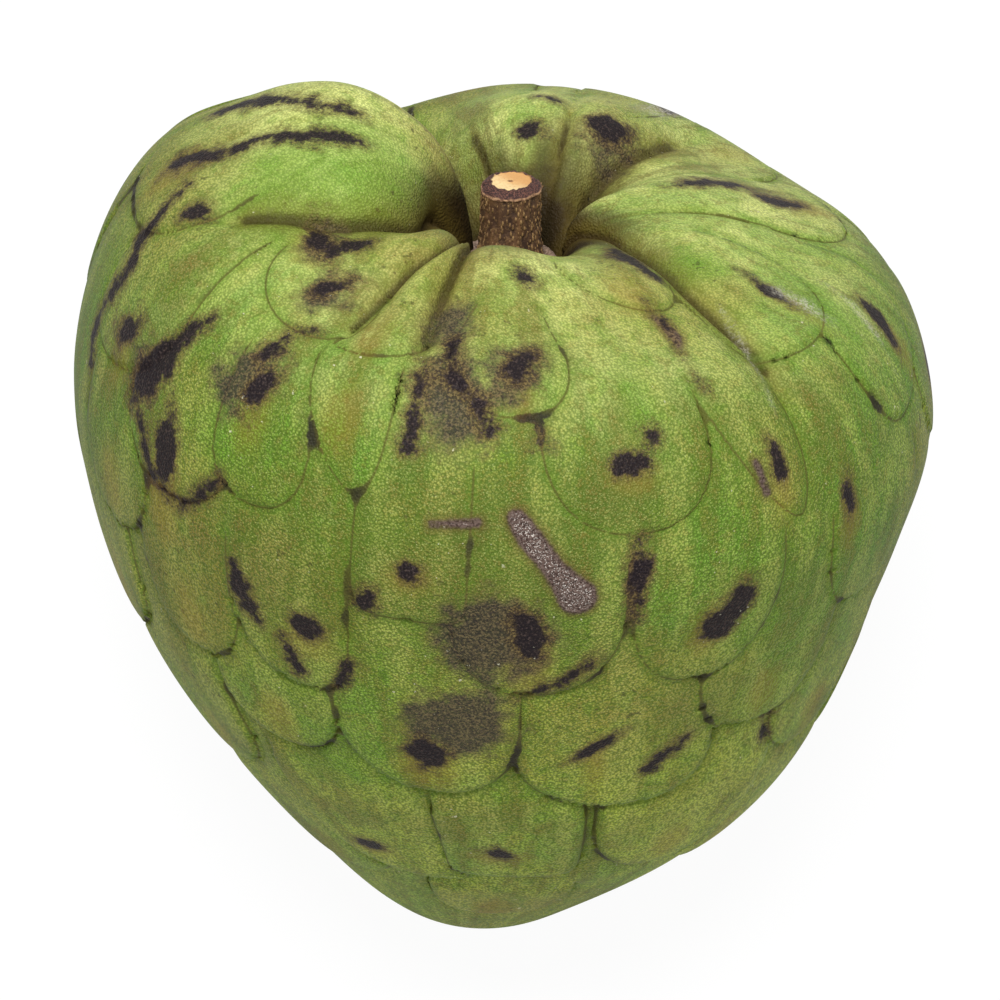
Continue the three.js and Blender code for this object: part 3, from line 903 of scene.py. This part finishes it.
class Tree:
    """A Geometry Nodes tree with named inputs."""

    def __init__(self, name):
        self.group = bpy.data.node_groups.new(name, "GeometryNodeTree")
        self.inputs = {}
        self.add_input("Geometry", "NodeSocketGeometry")
        self.group.interface.new_socket("Geometry", in_out="OUTPUT", socket_type="NodeSocketGeometry")
        self.given = self.group.nodes.new("NodeGroupInput")
        self.result = self.group.nodes.new("NodeGroupOutput")

    def add_input(self, name, kind):
        self.inputs[name] = self.group.interface.new_socket(name, in_out="INPUT", socket_type=kind).identifier

    def node(self, kind, settings=None, sockets=None):
        made = self.group.nodes.new(kind)
        for key, value in (settings or {}).items():
            setattr(made, key, value)
        for key, value in (sockets or {}).items():
            if isinstance(value, bpy.types.NodeSocket):
                self.group.links.new(value, made.inputs[key])
            else:
                made.inputs[key].default_value = value
        return made


def scatter_tree():
    tree = Tree("scatter_lumps")
    for name, kind in (("Density", "NodeSocketFloat"), ("Spacing", "NodeSocketFloat"),
                       ("Radius", "NodeSocketFloat"),
                       ("Length", "NodeSocketFloat"), ("Height", "NodeSocketFloat"), ("Seed", "NodeSocketInt"),
                       ("Material", "NodeSocketMaterial")):
        tree.add_input(name, kind)
    given = tree.given.outputs
    where = tree.node("GeometryNodeInputNamedAttribute", {"data_type": "FLOAT"}, {"Name": "growth"})
    spread = tree.node("GeometryNodeDistributePointsOnFaces", {"distribute_method": "POISSON"}, {
        "Mesh": given["Geometry"], "Distance Min": given["Spacing"], "Density Max": given["Density"],
        "Density Factor": where.outputs["Attribute"], "Seed": given["Seed"]})
    lump = tree.node("GeometryNodeMeshUVSphere", {}, {"Segments": 7, "Rings": 4, "Radius": 1.0})
    shaded = tree.node("GeometryNodeSetShadeSmooth", {}, {"Geometry": lump.outputs["Mesh"]})
    axis = tree.node("GeometryNodeInputNamedAttribute", {"data_type": "FLOAT_VECTOR"}, {"Name": "stem_axis"})
    outwards = tree.node("FunctionNodeAlignRotationToVector", {"axis": "Z"}, {
        "Vector": spread.outputs["Normal"]})
    turned = tree.node("FunctionNodeAlignRotationToVector", {"axis": "X", "pivot_axis": "Z"}, {
        "Rotation": outwards.outputs["Rotation"], "Vector": axis.outputs["Attribute"]})
    size = tree.node("FunctionNodeRandomValue", {"data_type": "FLOAT"}, {
        "Min": 0.5, "Max": 1.25, "Seed": given["Seed"]})
    sides = tree.node("ShaderNodeCombineXYZ", {}, {0: given["Length"], 1: given["Radius"], 2: given["Height"]})
    grown = tree.node("ShaderNodeVectorMath", {"operation": "SCALE"}, {
        0: sides.outputs[0], "Scale": size.outputs[1]})
    placed_lumps = tree.node("GeometryNodeInstanceOnPoints", {}, {
        "Points": spread.outputs["Points"], "Instance": shaded.outputs["Geometry"],
        "Rotation": turned.outputs["Rotation"], "Scale": grown.outputs[0]})
    real = tree.node("GeometryNodeRealizeInstances", {}, {"Geometry": placed_lumps.outputs["Instances"]})
    finished = tree.node("GeometryNodeSetMaterial", {}, {
        "Geometry": real.outputs["Geometry"], "Material": given["Material"]})
    tree.group.links.new(finished.outputs["Geometry"], tree.result.inputs[0])
    return tree


lump_tree = scatter_tree()
print(f"the tree takes {', '.join(lump_tree.inputs)}")

# %% Scatter the warts


def grow(name, tree, ground, **inputs):
    """Runs a tree on a copy of ground's mesh and returns the result as a plain mesh object."""
    grower = bpy.data.objects.new(name, ground.data.copy())
    bpy.context.scene.collection.objects.link(grower)
    modifier = grower.modifiers.new("grow", "NODES")
    modifier.node_group = tree.group
    for key, value in inputs.items():
        modifier[tree.inputs[key]] = value
    depsgraph = bpy.context.evaluated_depsgraph_get()
    plain = bpy.data.meshes.new_from_object(grower.evaluated_get(depsgraph), depsgraph=depsgraph)
    grower.modifiers.remove(modifier)
    grower.data = plain
    plain.name = name
    return grower


def set_growth(target, values, axis):
    """Stores where lumps grow, and the direction in which they are drawn out."""
    target.data.attributes.new("growth", "FLOAT", "POINT").data.foreach_set("value", np.asarray(values, "f"))
    vectors = np.tile(np.asarray(axis, "f"), len(target.data.vertices))
    target.data.attributes.new("stem_axis", "FLOAT_VECTOR", "POINT").data.foreach_set("vector", vectors)


stem_axis = lay_down @ np.array([0, 0, 1.0])
set_growth(stub, (kind == BARK) * (h > 3.5) * (0.35 + 0.65 * smooth(-0.2, 0.15, ridges)), stem_axis)
paint = Paint("bark_warts")
speck = paint.noise(0.5, 2)
paint.set(Base_Color=paint.mix(paint.step(0.35, 0.7, speck), colour(104, 76, 44), colour(150, 118, 72)),
          Roughness=0.75)
paint.bump(0.05 * paint.noise(0.15, 2))
warts = grow("bark_warts", lump_tree, stub, Density=6e6, Spacing=0.0004, Radius=0.00014, Length=0.00038,
             Height=0.00014, Seed=3, Material=paint.material)
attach(warts, "root")
print(f"{warts.name}: {len(warts.data.polygons)} faces")

# %% [markdown]
# ## The dry collar
# Where the stub leaves the fruit, the remains of the flower have dried to a crumbly grey-pink ring. It
# shows on both sides of the stub, at the bottom of the cavity. A thin ring is swept round the root and
# pushed about with noise.

# %% Make the collar
COLLAR_RADIUS, COLLAR_THICKNESS = 5.4, 1.1
COLLAR_SIDES, COLLAR_ROUND = 120, 16
around, section = np.meshgrid(
    np.arange(COLLAR_SIDES) / COLLAR_SIDES, np.arange(COLLAR_ROUND) / COLLAR_ROUND, indexing="ij")
lumps = 1 + 0.3 * lattice_noise(rng, 11, 2, around.ravel(), section.ravel())
lumps = lumps + 0.25 * lattice_noise(
    rng, 34, 8, around.ravel(), 0.5 - 0.5 * np.cos(section.ravel() * 2 * math.pi))
thick = COLLAR_THICKNESS * lumps
ring = COLLAR_RADIUS + 0.4 * lattice_noise(rng, 9, 1, around.ravel(), around.ravel() * 0)
angle, bend = around.ravel() * 2 * math.pi, section.ravel() * 2 * math.pi
out = ring + thick * np.cos(bend)
collar_points = np.stack([
    out * np.sin(angle), -out * np.cos(angle), MERIDIAN[0][1] * RADIUS + 0.6 + thick * np.sin(bend)], axis=-1)
collar_faces = []
for i in range(COLLAR_SIDES):
    for j in range(COLLAR_ROUND):
        i2, j2 = (i + 1) % COLLAR_SIDES, (j + 1) % COLLAR_ROUND
        collar_faces.append((i * COLLAR_ROUND + j, i2 * COLLAR_ROUND + j,
                             i2 * COLLAR_ROUND + j2, i * COLLAR_ROUND + j2))
collar = make_object("dry_collar", place(collar_points), collar_faces)
paint = Paint("dry_tissue")
grain, patches = paint.noise(0.4, 4, 0.7), paint.noise(2, 2)
dry = paint.mix(paint.step(0.35, 0.65, grain), colour(84, 64, 50), colour(178, 150, 132))
dry = paint.mix(0.6 * paint.step(0.45, 0.7, patches), dry, colour(110, 88, 62))
paint.set(Base_Color=dry, Roughness=0.85)
paint.bump(0.2 * grain)
collar.data.materials.append(paint.material)
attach(collar, "root")
print(f"{collar.name}: {len(collar.data.polygons)} faces")

# %% [markdown]
# ## The camera
# The fruit was looked at along a line that drops 28 degrees below its own equator. Because the fruit
# lies on its back, that means the camera looks almost straight down. A long lens, far away, keeps the
# heart's outline flat and wide.

# %% Set the camera
LOOK_DOWN = math.radians(28)
DISTANCE = 14.1 * RADIUS
ROLL = -0.026
right = np.array([1.0, 0, 0])
forward = np.array([0, math.cos(LOOK_DOWN), -math.sin(LOOK_DOWN)])
upward = np.array([0, math.sin(LOOK_DOWN), math.cos(LOOK_DOWN)])
right, upward = right - ROLL * upward, upward + ROLL * right
aim = np.array([0, 0, RADIUS])
camera_data = bpy.data.cameras.new("camera")
camera_data.lens = 215
camera_data.sensor_width = 36
camera_data.shift_x = -0.0025
camera_data.shift_y = 0.0115
camera = bpy.data.objects.new("camera", camera_data)
turned = Matrix([lay_down @ right, lay_down @ upward, -(lay_down @ forward)]).transposed()
camera.matrix_world = Matrix.Translation(Vector(place(aim - forward * DISTANCE))) @ turned.normalized().to_4x4()
bpy.context.scene.collection.objects.link(camera)
bpy.context.scene.camera = camera
rise = math.degrees(math.asin(-(lay_down @ forward)[2]))
print(f"the camera looks down at {rise:.0f} degrees")

# %% [markdown]
# ## Floor and light
# The stage is a plain white floor under soft light: a large lamp beyond the stem end, a weaker one on
# the near side, and an even white sky. The floor is shown nearly at full white to the camera, and keeps
# a part of the fruit's shadow.

# %% Set the stage
floor = make_object("floor", [(-3, -3, 0), (3, -3, 0), (3, 3, 0), (-3, 3, 0)], [(0, 1, 2, 3)])
paint = Paint("white_floor")
paint.set(Base_Color=(0.6, 0.6, 0.6, 1), Roughness=0.9)
plain_white = paint.node("ShaderNodeEmission", {}, {"Color": (1, 1, 1, 1), "Strength": 1.06})
rays = paint.node("ShaderNodeLightPath", output="Is Camera Ray")
SHADOW_KEPT = 0.12
shown = paint.node("ShaderNodeMixShader", {}, {
    0: (1 - SHADOW_KEPT) * rays, 1: Num(paint, paint.shader.outputs[0]), 2: plain_white})
output = paint.tree.nodes["Material Output"]
paint.feed(output.inputs["Surface"], shown)
floor.data.materials.append(paint.material)

world = bpy.data.worlds.new("even_sky")
world.use_nodes = True
bpy.context.scene.world = world
SKY = 0.48
world.node_tree.nodes["Background"].inputs["Color"].default_value = (1, 1, 1, 1)
world.node_tree.nodes["Background"].inputs["Strength"].default_value = SKY


def lamp(name, place_at, size, power):
    data = bpy.data.lights.new(name, "AREA")
    data.shape, data.size, data.energy = "DISK", size, power
    made = bpy.data.objects.new(name, data)
    direction = Vector((0, 0, 0.05)) - Vector(place_at)
    made.matrix_world = Matrix.Translation(place_at) @ direction.to_track_quat("-Z", "Y").to_matrix().to_4x4()
    bpy.context.scene.collection.objects.link(made)
    print(f"{name}: {power} W from {direction.length:.1f} m")


lamp("key", (-0.06, 0.45, 1.35), 0.6, 19.5)
lamp("fill", (0.3, -0.8, 1.1), 1.0, 3.0)
bpy.context.scene.view_settings.view_transform = "Standard"
